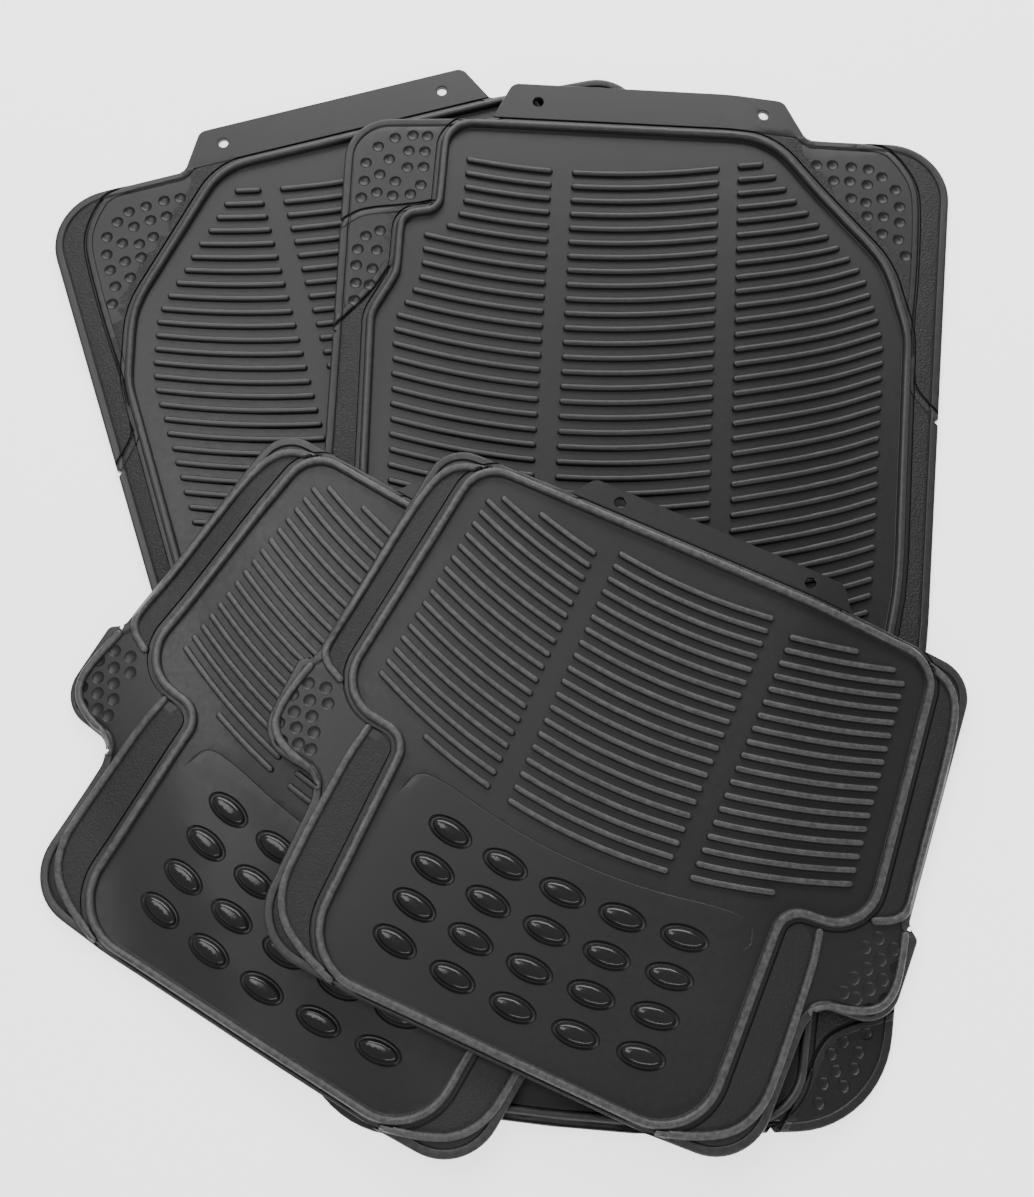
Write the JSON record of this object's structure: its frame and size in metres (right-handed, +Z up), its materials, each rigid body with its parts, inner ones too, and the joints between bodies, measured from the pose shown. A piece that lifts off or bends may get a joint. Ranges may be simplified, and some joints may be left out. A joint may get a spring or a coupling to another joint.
{
  "type": "floor mat set",
  "caption": "Moulded black rubber floor mats in a loose stack: mirrored front mats and equal rear mats, each with a raised border, cross ribs and a tab with two anchor holes",
  "frame": {"origin": "centre of the stack's bounding box, on the floor the lowest mat lies on", "axes": "+Z up; +Y towards the tabs of the front mats, which is the longest side of the stack; +X towards the right front mat"},
  "size_m": [0.6623, 0.7821, 0.0344],
  "materials": {
    "front_left_rubber": "satin moulded rubber, near black, with leather grain on the outer strips",
    "front_right_rubber": "satin moulded rubber, near black, with leather grain on the outer strips",
    "rear_left_rubber": "satin moulded rubber, near black, with leather grain on the outer strips",
    "rear_right_rubber": "satin moulded rubber, near black, with leather grain on the outer strips"
  },
  "bodies": {
    "front_left": {"front_left_mat": "front_left_rubber"},
    "front_right": {"front_right_mat": "front_right_rubber"},
    "rear_left": {"rear_left_mat": "rear_left_rubber"},
    "rear_right": {"rear_right_mat": "rear_right_rubber"}
  },
  "joints": [
    {"name": "front_right_lift", "type": "slide", "parent": "front_left", "child": "front_right", "axis": [0, 0, 1], "range_m": [0, 0.15]},
    {"name": "rear_left_lift", "type": "slide", "parent": "front_right", "child": "rear_left", "axis": [0, 0, 1], "range_m": [0, 0.15]},
    {"name": "rear_right_lift", "type": "slide", "parent": "rear_left", "child": "rear_right", "axis": [0, 0, 1], "range_m": [0, 0.15]}
  ]
}
